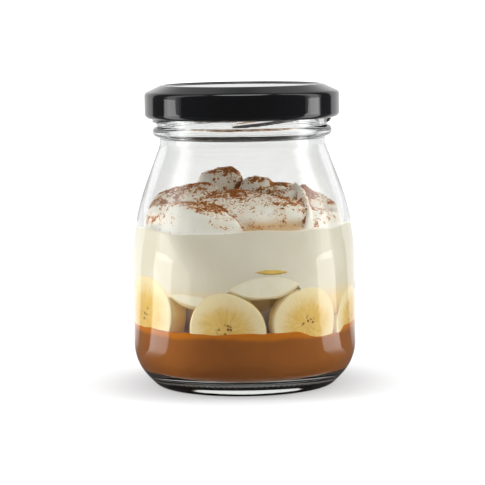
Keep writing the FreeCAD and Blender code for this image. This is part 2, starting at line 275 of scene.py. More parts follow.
def grain(x, y, z, size, seed=0.0):
    """Smooth noise from -1 to 1 at each point, with features of a given size."""
    flat = zip(np.ravel(x) / size, np.ravel(y) / size, np.ravel(z) / size + seed)
    values = np.array([noise.noise(Vector(p)) for p in flat])
    return values.reshape(np.shape(x))


# ---- material helpers ----
class Shader:
    """A small wrapper that makes the node trees of materials and of the world readable."""

    def __init__(self, name, world=False):
        self.owner = (bpy.data.worlds if world else bpy.data.materials).new(name)
        self.owner.use_nodes = True
        self.tree = self.owner.node_tree
        self.tree.nodes.clear()
        self.output = self.node("ShaderNodeOutputWorld" if world else "ShaderNodeOutputMaterial")

    def node(self, kind, **inputs):
        """A node with inputs given by name, or by number as in i0."""
        made = self.tree.nodes.new(kind)
        for key, value in inputs.items():
            numbered = key[0] == "i" and key[1:].isdigit()
            self.set(made.inputs[int(key[1:]) if numbered else key.replace("_", " ")], value)
        return made

    def set(self, socket, value):
        if isinstance(value, bpy.types.NodeSocket):
            self.tree.links.new(value, socket)
        else:
            socket.default_value = (*value, 1.0) if socket.type == "RGBA" else value

    def math(self, operation, a, b=0.0):
        made = self.node("ShaderNodeMath", i0=a, i1=b)
        made.operation = operation
        return made.outputs[0]

    def times(self, *terms):
        return reduce(lambda a, b: self.math("MULTIPLY", a, b), terms)

    def plus(self, *terms):
        return reduce(lambda a, b: self.math("ADD", a, b), terms)

    def minus(self, a, b):
        return self.math("SUBTRACT", a, b)

    def step(self, value, low, high, to_low=0.0, to_high=1.0):
        """A smooth change from one value to another between two bounds."""
        made = self.node("ShaderNodeMapRange", Value=value, From_Min=low, From_Max=high,
                         To_Min=to_low, To_Max=to_high)
        made.interpolation_type = "SMOOTHSTEP"
        return made.outputs[0]

    def fall(self, value, low, high):
        return self.step(value, low, high, 1.0, 0.0)

    def mix(self, factor, a, b):
        made = self.tree.nodes.new("ShaderNodeMix")
        made.data_type = "RGBA"
        for index, item in ((0, factor), (6, a), (7, b)):
            self.set(made.inputs[index], item)
        return made.outputs[2]

    def blend(self, factor, first, second):
        """A mix of two shaders."""
        return self.node("ShaderNodeMixShader", i0=factor, i1=first, i2=second).outputs[0]

    def noise(self, scale, detail=2.0, rough=0.5, vector=None):
        made = self.node("ShaderNodeTexNoise", Vector=vector or self.place(), Scale=scale,
                         Detail=detail, Roughness=rough)
        return made.outputs["Fac"]

    def cells(self, scale, vector):
        return self.node("ShaderNodeTexVoronoi", Vector=vector, Scale=scale).outputs["Distance"]

    def place(self, kind="Object"):
        return self.node("ShaderNodeTexCoord").outputs[kind]

    def split(self, vector):
        made = self.node("ShaderNodeSeparateXYZ", Vector=vector)
        return [made.outputs[axis] for axis in "XYZ"]

    def join(self, x, y, z):
        return self.node("ShaderNodeCombineXYZ", X=x, Y=y, Z=z).outputs[0]

    def attribute(self, name, output="Fac"):
        made = self.node("ShaderNodeAttribute")
        made.attribute_name = name
        return made.outputs[output]

    def rays(self):
        """What kind of ray looks, such as "Is Camera Ray"."""
        return self.node("ShaderNodeLightPath").outputs

    def bump(self, height, strength, distance):
        return self.node("ShaderNodeBump", Height=height, Strength=strength,
                         Distance=distance).outputs["Normal"]

    def principled(self, **inputs):
        return self.node("ShaderNodeBsdfPrincipled", **inputs).outputs[0]

    def finish(self, shader):
        self.tree.links.new(shader, self.output.inputs["Surface"])
        return self.owner


# ---- glass ----
def glass_material():
    """Clear glass, with light from lamps let through so that what it holds is lit."""
    s = Shader("clear_glass")
    waves = s.bump(s.noise(45.0, 1.0), 0.06, 0.002)
    glass = s.principled(Base_Color=(0.975, 0.985, 0.978), Roughness=0.0, IOR=1.5,
                         Transmission_Weight=1.0, Normal=waves)
    clear = s.node("ShaderNodeBsdfTransparent", Color=(0.93, 0.94, 0.93)).outputs[0]
    return s.finish(s.blend(s.rays()["Is Shadow Ray"], glass, clear))


GLASS_COLUMNS = 360
KNURLS = 88
KNURL_DEPTH = 0.6


def bearing_radius():
    """Outer edge of the ring that the jar stands on, below the heel's cone and its corner."""
    slope = math.radians(HEEL_SLOPE)
    cone_r = BODY_RADIUS - HEEL_RADIUS + HEEL_RADIUS * math.sin(slope)
    cone_z = HEEL_HEIGHT - HEEL_RADIUS * math.cos(slope)
    return cone_r - cone_z / math.tan(slope) - HEEL_CORNER * math.tan(slope / 2)


def glass_profile():
    """The whole section of the glass, from under its middle round to the inner floor."""
    bearing = bearing_radius()
    bearing_inner = bearing - BEARING_WIDTH
    corner = arc(bearing, HEEL_CORNER, HEEL_CORNER, -90, HEEL_SLOPE - 90, 12)
    heel = arc(BODY_RADIUS - HEEL_RADIUS, HEEL_HEIGHT, HEEL_RADIUS, HEEL_SLOPE - 90, 0, 30)
    under = bulge((0, PUSH_UP), (bearing_inner * 0.6, PUSH_UP * 0.72), (bearing_inner, 0), 16)
    return joined(
        under,
        straight((bearing_inner, 0), (bearing, 0), 8),
        corner,
        straight(corner[-1], heel[0], 6),
        heel,
        straight((BODY_RADIUS, HEEL_HEIGHT), (BODY_RADIUS, STRAIGHT_TOP), 10),
        shoulder(BODY_RADIUS, STRAIGHT_TOP, NECK_RADIUS, NECK_BOTTOM, NECK_FILLET, 42),
        straight((NECK_RADIUS, NECK_BOTTOM), (NECK_RADIUS, BEAD_BOTTOM), 3),
        bulge((NECK_RADIUS, BEAD_BOTTOM), (BEAD_RADIUS, BEAD_BOTTOM + BEAD_HEIGHT * 0.52),
              (FINISH_RADIUS, BEAD_TOP), 18),
        straight((FINISH_RADIUS, BEAD_TOP), (FINISH_RADIUS, RIM_TOP - RIM_ROUND), 40),
        arc(FINISH_RADIUS - RIM_ROUND, RIM_TOP - RIM_ROUND, RIM_ROUND, 0, 90, 6),
        arc(BORE_RADIUS + RIM_ROUND, RIM_TOP - RIM_ROUND, RIM_ROUND, 90, 180, 6),
        inner_profile()[::-1][1:],
    )


def thread_ridge(z, angle):
    """How far the lug threads stand out from the plain finish."""
    ridge = np.zeros_like(z)
    degrees = np.degrees(angle)
    for i in range(THREADS):
        turn = (degrees - THREAD_START - 360.0 * i / THREADS) % 360
        fade = np.clip(np.minimum(turn, THREAD_SPAN - turn) / THREAD_FADE, 0, 1)
        middle = THREAD_BASE + THREAD_LEAD * turn / 360
        half = THREAD_HALF * (0.55 + 0.45 * fade)
        across = np.clip(1 - ((z - middle) / half) ** 2, 0, 1)
        height = (THREAD_RADIUS - FINISH_RADIUS) * np.sqrt(fade) * np.sqrt(across)
        ridge = np.maximum(ridge, height)
    return ridge


def glass_shape(r, z, angle):
    """Adds the threads and the notches under the bearing ring."""
    outside = r > (FINISH_RADIUS + BORE_RADIUS) / 2
    finish = outside & (z > BEAD_TOP + 0.02) & (z < RIM_TOP - RIM_ROUND)
    r = np.where(finish, r + thread_ridge(z, angle), r)
    middle = bearing_radius() - BEARING_WIDTH / 2
    ring = np.clip(1 - ((r - middle) / (BEARING_WIDTH * 0.95)) ** 2, 0, 1) * (z < 1.6)
    notch = 0.5 + 0.5 * np.cos(angle * KNURLS)
    return r, z + KNURL_DEPTH * ring * notch ** 2


def build_glass():
    points, faces = lathe(glass_profile(), GLASS_COLUMNS, glass_shape)
    piece = make_piece("jar_glass", points, faces, glass_material())
    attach(piece, "root")
    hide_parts("glass_jar")


# ---- lid ----
LID_SHEET = 0.5
CREST_RADIUS = 29.9
CREST_ROUND = 1.4
PANEL_RECESS = 0.5
PANEL_SLOPE = 40.0
SLOPE_ANGLE = 25.0
SKIRT_ROUND = 1.6
HEM_WIDTH = 2.0
HEM_HEIGHT = 2.7
HEM_ROUND = 1.85
LUG_REACH = 1.9
LUG_HEIGHT = 1.2
LUG_ANGLE = 12.0
LUG_LEAD = 82.0
LID_COLUMNS = 288


def lacquer_material():
    """Black lacquer over tinplate: deep gloss, with the faintest ripple and a little dust."""
    s = Shader("black_lacquer")
    dust = s.step(s.noise(5200.0, 1.0), 0.72, 0.80)
    colour = s.mix(dust, (0.0042, 0.0044, 0.0052), (0.012, 0.012, 0.013))
    return s.finish(s.principled(Base_Color=colour, Roughness=0.6, Specular_IOR_Level=0.0,
                                 Coat_Weight=1.0, Coat_Roughness=0.03, Coat_IOR=1.5,
                                 Coat_Normal=s.bump(s.noise(260.0), 0.02, 0.0004)))


def lid_line(inset):
    """The lid's section drawn in by an inset, from the middle out to the skirt."""
    crest_z = LID_TOP - CREST_ROUND
    panel_z = LID_TOP - PANEL_RECESS - inset
    inner_angle = 90 + PANEL_SLOPE
    outer_angle = 90 - SLOPE_ANGLE
    slope = math.radians(SLOPE_ANGLE)
    corner_r = LID_RADIUS - SKIRT_ROUND
    along = (corner_r - CREST_RADIUS) * math.sin(slope) - (CREST_ROUND - SKIRT_ROUND)
    corner_z = crest_z - along / math.cos(slope)
    crest = arc(CREST_RADIUS, crest_z, CREST_ROUND - inset, inner_angle, outer_angle, 14)
    edge = crest[0, 0] - (crest[0, 1] - panel_z) / math.tan(math.radians(PANEL_SLOPE))
    corner = arc(corner_r, corner_z, SKIRT_ROUND - inset, outer_angle, 0, 8)
    return joined(straight((0, panel_z), (edge, panel_z), 12), crest,
                  straight(crest[-1], corner[0], 6), corner)


def build_lid():
    """Sheet, skirt and rolled hem as one turned piece with its lugs."""
    outer = lid_line(0.0)
    inner = lid_line(LID_SHEET)
    hem_top = LID_BOTTOM + HEM_HEIGHT
    hem_in = LID_RADIUS - HEM_WIDTH
    half = HEM_WIDTH / 2
    hem = joined(
        straight(outer[-1], (LID_RADIUS, LID_BOTTOM + HEM_ROUND), 8),
        arc(LID_RADIUS - HEM_ROUND, LID_BOTTOM + HEM_ROUND, HEM_ROUND, 0, -90, 10),
        straight((hem_in, LID_BOTTOM), (hem_in, hem_top - half), 4),
        arc(hem_in + half, hem_top - half, half, 180, 60, 8),
        straight((LID_RADIUS - LID_SHEET, hem_top - 0.3), inner[-1], 6),
    )
    points, faces = lathe(joined(outer, hem, inner[::-1]), LID_COLUMNS)
    material = lacquer_material()
    lugs = [lug_form(THREAD_START + LUG_LEAD + 360.0 * i / THREADS) for i in range(THREADS)]
    for lug_points, lug_faces in lugs:
        faces += [[index + len(points) for index in face] for face in lug_faces]
        points = np.concatenate([points, lug_points])
    piece = make_piece("lid_shell", points, faces, material)
    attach(piece, "root")
    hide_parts("lid")


def lug_form(middle):
    """A lug: a rounded tongue of the hem that reaches in under a thread."""
    steps = 12
    angles = np.radians(middle + np.linspace(-LUG_ANGLE / 2, LUG_ANGLE / 2, steps + 1))
    ease = np.sin(np.linspace(0, math.pi, steps + 1)) ** 0.4
    outer = LID_RADIUS - HEM_WIDTH + 0.5
    low = LID_BOTTOM + 0.2
    rings = []
    for angle, share in zip(angles, ease):
        reach = outer - (LUG_REACH + 0.5) * max(share, 0.05)
        nose = bulge((reach + LUG_HEIGHT / 2, low + LUG_HEIGHT), (reach, low + LUG_HEIGHT / 2),
                     (reach + LUG_HEIGHT / 2, low), 8)
        section = np.concatenate([nose, [(outer, low), (outer, low + LUG_HEIGHT)]])
        rings.append([(r * math.sin(angle), -r * math.cos(angle), z) for r, z in section])
    return closed_rings(rings)


def gasket_material():
    s = Shader("sealing_compound")
    tone = s.mix(s.noise(300.0), (0.62, 0.61, 0.57), (0.70, 0.69, 0.65))
    return s.finish(s.principled(Base_Color=tone, Roughness=0.55))


# ---- caramel ----
# At the very bottom the caramel does not wet the glass: air as seen from inside glass.
AIR_IN_GLASS = 0.667
DRY_BELOW = 7.0


def caramel_material():
    """Cooked-milk caramel against glass: an amber rim, faint swirls, and round the very bottom
    the mirror that glass makes where a film of air lies behind it.
    """
    s = Shader("caramel")
    height = s.split(s.place())[2]
    cloud = s.noise(30.0, 3.0, 0.55)
    level = s.plus(height, s.times(s.minus(cloud, 0.5), 0.006))
    rim = s.step(level, (CARAMEL_LEVEL - 3.0) * MM, (CARAMEL_LEVEL - 1.0) * MM)
    body = s.mix(s.step(cloud, 0.35, 0.65), (0.25, 0.081, 0.0135), (0.30, 0.101, 0.018))
    streak = s.step(s.noise(85.0, 2.0, 0.6), 0.52, 0.72)
    body = s.mix(s.times(streak, 0.30), body, (0.36, 0.125, 0.014))
    colour = s.mix(s.times(rim, 0.85), body, (0.56, 0.175, 0.008))
    base = s.principled(Base_Color=colour, Roughness=0.35, Specular_IOR_Level=0.04)
    mirror = s.node("ShaderNodeBsdfAnisotropic", Color=(0.94, 0.95, 0.93), Roughness=0.02)
    edge = s.node("ShaderNodeFresnel", IOR=AIR_IN_GLASS).outputs[0]
    dry = s.times(edge, s.fall(height, DRY_BELOW * MM, (DRY_BELOW + 1.4) * MM))
    return s.finish(s.blend(dry, base, mirror.outputs[0]))


# On the front right the caramel lies lower, under a slice.
CARAMEL_DIP = 2.2


def caramel_level(angle):
    """The level where the caramel meets the glass, a little uneven round the jar."""
    turn = turned_from(angle)
    dip = smooth(28, 42, turn) * (1 - smooth(59, 65, turn))
    return (CARAMEL_LEVEL - 0.1 - CARAMEL_DIP * dip + 0.22 * np.sin(5 * angle + 0.7)
            + 0.16 * np.sin(13 * angle + 2.0) + 0.08 * np.sin(29 * angle))


def build_caramel():
    line = inner_profile(-CARAMEL_REACH)
    side = line[line[:, 1] < CARAMEL_LEVEL - 1.5]
    top = straight((wall_at(CARAMEL_LEVEL) + CARAMEL_REACH, CARAMEL_LEVEL), (0, CARAMEL_LEVEL), 40)
    side_top = straight(side[-1], top[0], 6)
    profile = joined(side, side_top, top)

    def shape(r, z, angle):
        share = np.clip((z - (CARAMEL_LEVEL - 4)) / 4, 0, 1)
        level = caramel_level(angle) - CARAMEL_LEVEL
        sag = 1.0 * (1 - smooth(30, CAVITY_RADIUS, r)) * (z > CARAMEL_LEVEL - 0.01)
        return r, z + share * level - sag

    points, faces = lathe(profile, 256, shape)
    piece = make_piece("caramel_layer", points, faces, caramel_material())
    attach(piece, "root")
    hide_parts("caramel")


# ---- banana ----
# Upright slices: name, angle, middle, radius, thickness, distance from the wall, turn.
UPRIGHT = [
    ("banana_front", -10.0, 25.0, 14.1, 7.0, 0.0, 10.0),
    ("banana_front_right", 35.0, 26.4, 13.7, 6.5, 0.0, 75.0),
    ("banana_right", 75.0, 25.4, 12.6, 7.5, 0.0, 140.0),
    ("banana_back_right", 120.5, 26.2, 13.9, 6.8, 0.0, 30.0),
    ("banana_back", 164.0, 25.4, 13.6, 7.2, 0.0, 200.0),
    ("banana_back_left", 207.0, 26.8, 13.4, 6.4, 0.0, 95.0),
    ("banana_left", 249.5, 25.2, 13.5, 7.0, 0.0, 260.0),
    ("banana_front_left", 296.0, 28.9, 15.2, 7.4, 0.0, 320.0),
    ("banana_behind_left", 324.0, 23.5, 13.2, 6.0, 8.2, 50.0),
]

# Lying slices: name, angle, distance from the axis, height, radius, thickness, lean, roll.
LYING = [
    ("banana_top_front", 10.5, 28.4, 40.0, 14.8, 9.0, 4.0, -3.0),
    ("banana_top_left", -29.0, 28.0, 35.0, 13.5, 7.2, 5.0, 9.0),
    ("banana_top_right", 57.0, 24.5, 41.2, 13.6, 7.2, 6.0, 7.0),
    ("banana_top_back_right", 102.0, 27.5, 40.4, 13.9, 7.0, 10.0, -6.0),
    ("banana_top_back", 148.0, 27.0, 41.0, 13.5, 7.4, 7.0, 5.0),
    ("banana_top_back_left", 193.0, 27.5, 40.8, 13.8, 7.0, 9.0, -5.0),
    ("banana_top_far_left", 238.0, 27.0, 40.2, 13.6, 7.2, 8.0, 6.0),
]
GOLDEN = ("banana_golden", 13.5, 28.2, 45.6, 11.6, 7.0, 3.0, 2.0)
SLICE_COLUMNS = 84
LENS_DEPTH = 6.0
LENS_POWER = 1.5


def banana_material(name, ripe):
    """Cut banana: pale rim, fibres running out from a three-part core, dark seed specks, the
    upright slices' golden sides partly a painted glow of bounced light, and a painted shade line
    at the glass.
    """
    s = Shader(name)
    u, v, seed = s.split(s.attribute("slice_place", "Vector"))
    radius = s.math("SQRT", s.plus(s.times(u, u), s.times(v, v)))
    angle = s.math("ARCTAN2", v, u)
    # Radial fibres: noise stretched along the radius.
    polar = s.join(s.times(s.math("SINE", angle), 3.2), s.times(s.math("COSINE", angle), 3.2),
                   s.plus(s.times(radius, 1.1), s.times(seed, 7.0)))
    fibres = s.noise(3.4, 4.0, 0.62, polar)
    cloud = s.noise(2.4, 3.0, 0.55, s.join(u, v, s.times(seed, 5.0)))
    reach = s.plus(radius, s.times(s.minus(cloud, 0.5), 0.35))
    # Three lobes of the core.
    lobes = s.math("COSINE", s.plus(s.times(angle, 3.0), s.times(seed, 2.3)))
    core = s.fall(s.plus(radius, s.times(lobes, -0.10)), 0.10, 0.46)
    flesh = s.mix(s.step(fibres, 0.36, 0.64), ripe["deep"], ripe["flesh"])
    flesh = s.mix(s.step(reach, 0.42, 0.90), flesh, ripe["edge"])
    flesh = s.mix(s.times(core, 0.55), flesh, ripe["core"])
    seams = s.times(s.fall(s.math("ABSOLUTE", lobes), 0.0, 0.32), s.fall(radius, 0.05, 0.40))
    flesh = s.mix(s.times(seams, 0.62), flesh, ripe["seam"])
    # Thin dark clefts run out from the middle between the seams.
    cleft = s.math("ABSOLUTE", s.math("SINE", s.plus(s.times(angle, 2.5), seed)))
    cleft = s.times(s.fall(cleft, 0.0, 0.24), s.fall(radius, 0.08, 0.24))
    flesh = s.mix(s.times(cleft, 0.6), flesh, ripe["cleft"])
    # Seed specks lie close round the middle.
    specks = s.fall(s.cells(9.0, s.join(u, v, seed)), 0.24, 0.42)
    specks = s.times(specks, s.fall(radius, 0.12, 0.30))
    flesh = s.mix(s.times(specks, 0.9), flesh, ripe["speck"])
    # The sides' own yellow, brightened and made golden on the upright slices as a painted glow of
    # warm light bounced in the recesses.
    rim_tone_and_glow = s.mix(s.step(cloud, 0.3, 0.7), ripe["side"], ripe["rim_tone_and_glow"])
    flesh = s.mix(s.attribute("slice_side"), flesh, rim_tone_and_glow)
    # A painted shade line where the slice leaves the glass.
    flesh = s.mix(s.attribute("painted_contact_shade"), flesh, ripe["line"])
    bumps = s.plus(s.times(fibres, 0.6), s.times(cloud, 0.4))
    return s.finish(s.principled(Base_Color=flesh, Roughness=0.45, Specular_IOR_Level=0.12,
                                 Normal=s.bump(bumps, 0.25, 0.0008)))


# In these tables line is the tone of a painted shade line where a slice leaves the glass.
RIPE = {"flesh": (0.80, 0.59, 0.21), "deep": (0.72, 0.49, 0.14), "edge": (0.86, 0.745, 0.47),
        "core": (0.70, 0.44, 0.10), "seam": (0.93, 0.79, 0.46), "speck": (0.16, 0.07, 0.02),
        "cleft": (0.42, 0.22, 0.05),
        # The side tones colour the rim; here they are brightened and made golden, a painted glow
        # of warm light bounced in the recesses.
        "side": (0.96, 0.66, 0.14), "rim_tone_and_glow": (0.98, 0.76, 0.26), "line": (0.66, 0.43, 0.13)}
LYING_RIPE = {**RIPE, "side": (0.84, 0.79, 0.62), "rim_tone_and_glow": (0.88, 0.84, 0.70),
              "line": (0.76, 0.60, 0.30)}
GOLDEN_RIPE = {**RIPE, "side": (0.78, 0.53, 0.13), "rim_tone_and_glow": (0.84, 0.60, 0.18),
               "line": (0.46, 0.28, 0.06)}


def outline_share(angle, turn):
    """A banana's outline as a share of its radius: round with three soft corners."""
    swing = angle + math.radians(turn)
    return 1 + 0.022 * np.cos(3 * swing) + 0.016 * np.cos(2 * swing + 1.0)


def slice_rings(radius, thickness, turn, bevel, seed):
    """A flat slice: rings from the middle of its front over the rim to the middle of its back.

    Returns across, up and depth in millimetres.
    """
    face = [(radius * s, 0.0) for s in np.linspace(0.045, 1 - bevel / radius, 20)]
    front = [(radius - bevel + bevel * math.sin(t), bevel - bevel * math.cos(t))
             for t in np.radians(np.linspace(10, 90, 7))]
    rim = [(radius, d) for d in np.linspace(bevel, thickness - bevel, 6)[1:-1]]
    back = [(radius - bevel + bevel * math.cos(t), thickness - bevel + bevel * math.sin(t))
            for t in np.radians(np.linspace(0, 90, 6))]
    rear = [(radius * s, thickness) for s in np.linspace(1 - bevel / radius, 0.06, 8)[1:]]
    path = np.array(face + front + rim + back + rear)
    angle = np.linspace(0, TAU, SLICE_COLUMNS, endpoint=False)[None, :]
    share = outline_share(angle, turn)
    reach = path[:, :1] * share
    across = reach * np.cos(angle)
    up = reach * np.sin(angle)
    depth = np.repeat(path[:, 1:], SLICE_COLUMNS, axis=1)
    uneven = 0.012 * radius * grain(across, up, depth, 6.0, seed)
    return across * (1 + uneven / radius), up * (1 + uneven / radius), depth


def slice_piece(name, rings, marks, material):
    """Closes a slice and hands over its marks: place in the outline, side and the painted shade
    line where it leaves the glass.
    """
    points, faces = closed_rings(rings)
    seed = marks["slice_place"][0, 0, 2]
    layers = {}
    for key, values in marks.items():
        if values.ndim == 3:
            flat, poles = values.reshape(-1, 3), [[0, 0, seed]] * 2
        else:
            flat, poles = values.ravel(), [values[0].mean(), values[-1].mean()]
        layers[key] = np.concatenate([flat, poles])
    piece = make_piece(name + "_flesh", points, faces, material, layers)
    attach(piece, "root")
    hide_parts(name)


def build_upright(spec, seed, material):
    """A slice bent round the jar, with its face pressed against the glass."""
    name, angle, middle, radius, thickness, setback, turn = spec
    across, up, depth = slice_rings(radius, thickness, turn, 0.9, seed)
    reach = UPRIGHT_REACH if setback == 0 else -setback
    z = middle + up
    r = wall_at(np.maximum(z, FLOOR_THICKNESS + 1)) + reach - depth
    around = math.radians(angle) + across / CAVITY_RADIUS
    rings = around_axis(r, around, z)
    marks = {"slice_place": np.stack([across / radius, up / radius, np.full_like(up, seed)], -1),
             "slice_side": smooth(0.25, 1.3, depth),
             # A painted shade line just behind the face, where the slice leaves the glass.
             "painted_contact_shade": 0.6 * smooth(0.08, 0.3, depth) * (1 - smooth(0.3, 0.9, depth))}
    slice_piece(name, rings, marks, material)


def lens_rings(radius, thickness, turn, seed):
    """A lying slice whose rim thins out like the edge of a lens."""
    depth = min(LENS_DEPTH, radius * 0.6)
    steps = np.linspace(0, 1, 15)
    half = thickness / 2
    upper = [(radius - depth * (1 - t), half * (1 - t ** LENS_POWER)) for t in steps]
    path = [((radius - depth) * t, half) for t in np.linspace(0.05, 1, 12)[:-1]] + upper
    path += [(r, -z) for r, z in reversed(upper[:-1])]
    path += [((radius - depth) * t, -half) for t in np.linspace(1, 0.08, 8)[1:]]
    path = np.array(path)
    angle = np.linspace(0, TAU, SLICE_COLUMNS * 2, endpoint=False)[None, :]
    reach = path[:, :1] * outline_share(angle, turn)
    across = reach * np.cos(angle)
    forward = reach * np.sin(angle)
    up = np.repeat(path[:, 1:], angle.size, axis=1)
    uneven = 1 + 0.018 * grain(across, forward, up, 5.0, seed)
    return across * uneven, forward * uneven, up


def build_lying(spec, seed, material, reach=LYING_REACH):
    """A slice that lies flat, its rim flattened where it meets the glass."""
    name, angle, distance, height, radius, thickness, lean, roll = spec
    across, forward, up = lens_rings(radius, thickness, angle * 3, seed)
    flat = np.stack([across, forward, up], axis=-1)
    tilt = Euler((math.radians(-lean), math.radians(roll), 0)).to_matrix()
    turned = flat @ np.array(tilt).T + np.array((0, -distance, height))
    spin = Euler((0, 0, math.radians(angle))).to_matrix()
    turned = turned @ np.array(spin).T
    r = np.hypot(turned[..., 0], turned[..., 1])
    excess = r - (wall_at(turned[..., 2]) + reach)
    pressed = np.minimum(1.0, 1 - excess / r)
    turned[..., 0] *= pressed
    turned[..., 1] *= pressed
    marks = {"slice_place": np.stack([across / radius, forward / radius,
                                      np.full_like(up, seed)], -1),
             "slice_side": smooth(0.0, 0.3, excess + 0.5),
             # A painted shade line round the patch pressed to the glass, darker on its underside.
             "painted_contact_shade": ((0.9 - 0.6 * smooth(-0.5, 0.5, up)) * smooth(-0.3, 0.0, excess)
                              * (1 - smooth(0.25, 0.85, excess)))}
    slice_piece(name, turned, marks, material)


def build_bananas():
    ripe = banana_material("banana_flesh", RIPE)
    lying = banana_material("banana_lying_flesh", LYING_RIPE)
    golden = banana_material("banana_golden_flesh", GOLDEN_RIPE)
    for index, spec in enumerate(UPRIGHT):
        build_upright(spec, index * 1.7 + 0.4, ripe)
    for index, spec in enumerate(LYING):
        build_lying(spec, index * 2.3 + 20.0, lying)
    build_lying(GOLDEN, 51.0, golden, LYING_REACH + 0.03)


# ---- cream ----
# Lobes of spooned cream.  Each follows a crest of (x, y, z) points; its two sides are quarter
# ellipses, given by width and drop, first on the side towards the front of the jar.
LOBES = [
    ("front_left", [(-31, -8, 64.6), (-26.6, -13, 68.6), (-19.6, -18, 70.2), (-13.4, -21, 68.8),
                    (-8.9, -24, 66.6), (-4.6, -29, 63.1), (-0.8, -33.5, 60.4)], 17, 9.5, 2.6, 7),
    ("left", [(-32.6, -3, 63.6), (-29.8, -2, 69.2), (-25.7, 0, 73.2), (-21.5, 1, 74.0),
              (-16.2, -1, 74.9), (-13.6, -3, 75.2), (-11.6, -6, 73.4)], 13, 8.5, 4, 7),
    ("left_fold", [(-13.6, -4, 75.2), (-12.0, -8, 73.2), (-11.0, -12, 70.0)], 1.6, 4, 1.8, 4),
    ("back_peak", [(-13.1, 10, 78.5), (-8.9, 10, 79.8), (-5.6, 10, 80.2)], 6.5, 9, 6.5, 9),
    ("middle", [(-8.2, -10, 71.6), (-4, -9, 73.2), (1.5, -9, 72.6)], 19, 11, 3, 6),
    ("back_right", [(3.6, 7, 76.2), (5.6, 7, 76.7), (7.6, 7, 76.2), (11.3, 8, 74.1),
                    (16.5, 8, 73.8)], 6, 8, 5, 8),
    ("fold", [(5.5, -3, 72.9), (10, -3, 73.4), (15, -1, 73.8)], 1.8, 4, 2, 4),
    ("front_right", [(1, -13, 69.2), (6, -14, 70.2), (11.5, -13, 71.0)], 17, 10, 3, 6),
    ("shelf", [(12, -6, 72.2), (18, -6, 73.2)], 5, 6, 3, 6),
    ("sharp_ridge", [(19.3, -6, 75.0), (21.1, -9, 73.5), (22.3, -14, 71.5), (22.9, -20, 68.8),
                     (22.9, -25, 66.0), (22, -30, 62.4)], 2.0, 6, 1.6, 6),
    ("right", [(23.0, 0, 73.8), (26.2, -1, 71.6), (29.2, -2, 69.6)], 9, 8, 4, 8),
    ("right_low", [(31.0, -3, 67.4), (33.4, -2, 65.0), (35.4, -1, 62.6)], 9, 6, 3.5, 7),
    ("right_front", [(25.5, -16, 67.0), (29, -13, 65.6)], 9, 6, 4, 5),
    ("rear_left", [(-28, 10, 66), (-24, 14, 69), (-17, 18, 71.6), (-10, 20, 72.0)], 6, 6, 10, 9),
    ("rear", [(-4, 24, 71.0), (4, 25, 72.4), (12, 22, 72.0)], 7, 7, 12, 10),
    ("rear_right", [(17, 18, 71.4), (22, 13, 70.8), (27, 6, 68.6)], 7, 6, 9, 9),
    ("centre", [(9, 14, 73.0), (2, 16, 73.6), (-3, 16, 74.0)], 5, 6, 5, 6),
]
CREAM_BLEND = 0.30
CREAM_MOUND = 5.5
CREAM_RISE = 32.0
CREAM_RISE_WIDTH = 13.0


def crest_stretches(x, y, crest):
    """For each stretch of a crest: its height next to a place, and the place's distance from it
    and side, which is positive towards the front of the jar.
    """
    crest = np.asarray(crest, dtype=float)
    for start, end in zip(crest[:-1], crest[1:]):
        run = end - start
        length = np.hypot(run[0], run[1])
        inside = ((x - start[0]) * run[0] + (y - start[1]) * run[1]) / length ** 2
        inside = np.clip(inside, 0, 1)
        dx = x - (start[0] + inside * run[0])
        dy = y - (start[1] + inside * run[1])
        side = (dx * run[1] - dy * run[0]) / length
        yield start[2] + inside * run[2], np.hypot(dx, dy), side


def lobe_height(x, y, crest, front, front_drop, back, back_drop):
    """Height of one lobe: its crest, less a fall that grows with the distance from it."""
    height = np.full(x.shape, -1e9)
    for top, distance, side in crest_stretches(x, y, crest):
        ahead = smooth(-0.5, 0.5, side / np.maximum(distance, 1e-6))
        width = back + (front - back) * ahead
        drop = back_drop + (front_drop - back_drop) * ahead
        share = np.minimum(distance / width, 0.995)
        fall = drop * (1 - np.sqrt(1 - share ** 2)) + 3.0 * np.maximum(distance - width, 0)
        height = np.maximum(height, top - fall)
    return height


def cream_top(x, y):
    """The spooned surface: lobes blended over a low mound."""
    reach = np.hypot(x, y) / CAVITY_RADIUS
    bend = 0.9 * np.sin(0.21 * x + 1.3 * np.sin(0.17 * y)) + 0.7 * np.sin(0.33 * y + 0.8)
    layers = [CREAM_EDGE + CREAM_MOUND * np.clip(1 - reach ** 2, 0, 1)]
    layers += [lobe_height(x + 0.5 * bend, y + 0.6 * bend, *lobe[1:]) for lobe in LOBES]
    layers = np.stack(layers)
    highest = layers.max(axis=0)
    soft = highest + CREAM_BLEND * np.log(np.exp((layers - highest) / CREAM_BLEND).sum(axis=0))
    from_glass = np.maximum(CAVITY_RADIUS * (1 - reach), 0)
    ceiling = CREAM_EDGE + CREAM_RISE * (1 - np.exp(-from_glass / CREAM_RISE_WIDTH))
    return -np.logaddexp(-2 * soft, -2 * ceiling) / 2


def edge_level(angle):
    """Where the cream's top meets the glass."""
    return (CREAM_EDGE + 0.5 * np.sin(2 * angle + 0.4) + 0.35 * np.sin(5 * angle + 1.0)
            + 0.2 * np.sin(11 * angle))


# The lowest that the slices' top line gets, and how far a lying slice's top falls to its sides.
LOWEST_TOP = 30.0
ROUNDED_OFF = 2.2


